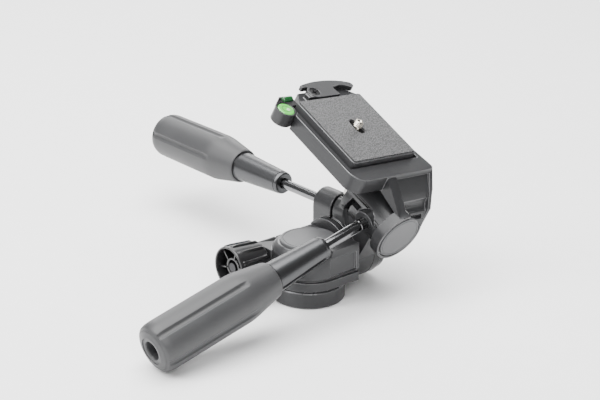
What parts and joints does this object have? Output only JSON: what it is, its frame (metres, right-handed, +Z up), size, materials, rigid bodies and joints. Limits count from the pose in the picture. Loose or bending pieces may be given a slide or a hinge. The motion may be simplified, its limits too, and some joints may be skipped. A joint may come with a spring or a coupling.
{
  "type": "three way pan tilt head",
  "caption": "Tripod head that pans, tilts and rolls a camera: round foot, split clamp tilt block, two locking handles, lock knob, and a sprung quick release plate with levels.",
  "frame": {"origin": "centre of the tripod thread at the foot's underside", "axes": "+Z up along the pan axis, -Y towards the front of the camera platform, +X towards the tilt stage"},
  "size_m": [0.2456, 0.2803, 0.1394],
  "materials": {
    "cast_body": "satin",
    "cap_disc": "satin",
    "steel": "brushed",
    "washer": "matt",
    "dark_plastic": "gloss",
    "dark_knob": "satin",
    "rod": "polished",
    "collar": "gloss",
    "grip": "matt",
    "level_case": "satin",
    "level_vial": "clear",
    "tube_vial": "clear",
    "lever_metal": "satin",
    "plate_metal": "satin",
    "pad": "grained"
  },
  "bodies": {
    "base": {"foot": "cast_body", "thread_insert": "steel", "pan_spindle": "steel", "friction_washer": "washer", "spindle_nut": "steel"},
    "pan": {"pan_housing": "cast_body", "pan_cap": "cap_disc", "pan_clamp_nut": "steel", "tilt_shaft": "steel", "tilt_shaft_nut": "steel", "tilt_washer": "washer"},
    "pan_lock": {"pan_knob": "dark_knob", "pan_knob_screw": "steel"},
    "tilt": {"tilt_block": "cast_body", "tilt_end_cap": "dark_plastic", "tilt_end_ring": "dark_plastic", "rear_clamp_nut": "steel", "side_brake_shoe": "washer"},
    "rear_handle": {"rear_rod": "rod", "rear_collar": "collar", "rear_grip": "grip"},
    "front_handle": {"front_rod": "rod", "front_collar": "collar", "front_grip": "grip"},
    "platform": {"platform": "cast_body", "hub_cap": "cap_disc", "side_shaft": "steel", "side_washer": "steel", "side_shaft_screw": "steel", "level_housing": "level_case", "round_level": "level_vial", "tube_level": "tube_vial", "lever_screw": "steel", "lever_spring": "steel"},
    "release_lever": {"lever": "lever_metal"},
    "release_plate": {"plate": "plate_metal", "plate_pad": "pad"},
    "camera_screw_body": {"camera_screw": "steel", "camera_screw_ring": "steel"}
  },
  "joints": [
    {"name": "pan", "type": "hinge", "parent": "base", "child": "pan", "pos_m": [0, 0, 0.0132], "axis": [0, 0, 1], "continuous": true},
    {"name": "pan_lock_turn", "type": "hinge", "parent": "pan", "child": "pan_lock", "pos_m": [-0.03, 0.024, 0.027], "axis": [1, 0, 0], "continuous": true},
    {"name": "tilt", "type": "hinge", "parent": "pan", "child": "tilt", "pos_m": [0.035, 0.0049, 0.0266], "axis": [1, 0, 0], "range_deg": [-50, 50]},
    {"name": "rear_handle_turn", "type": "hinge", "parent": "tilt", "child": "rear_handle", "pos_m": [0.0385, 0.0049, 0.0545], "axis": [0, 1, 0], "continuous": true},
    {"name": "front_handle_turn", "type": "hinge", "parent": "tilt", "child": "front_handle", "pos_m": [0.042, -0.02944, 0.06171], "axis": [-0.9758, 0.0014, -0.2185], "continuous": true},
    {"name": "side_tilt", "type": "hinge", "parent": "tilt", "child": "platform", "pos_m": [0.042, -0.01359, 0.0652], "axis": [0, 0.9018, 0.4321], "range_deg": [-30, 75]},
    {"name": "lever_swing", "type": "hinge", "parent": "platform", "child": "release_lever", "pos_m": [0.03818, 0.04035, 0.13127], "axis": [0.1271, -0.4286, 0.8945], "range_deg": [0, 32], "stiffness_Nm_per_rad": 0.05, "springref_deg": -22.92},
    {"name": "plate_lift", "type": "slide", "parent": "platform", "child": "release_plate", "axis": [0.1271, -0.4286, 0.8945], "range_m": [0, 0.03]},
    {"name": "camera_screw_turn", "type": "hinge", "parent": "release_plate", "child": "camera_screw_body", "pos_m": [0.04703, 0.00217, 0.11631], "axis": [0.1271, -0.4286, 0.8945], "continuous": true}
  ]
}
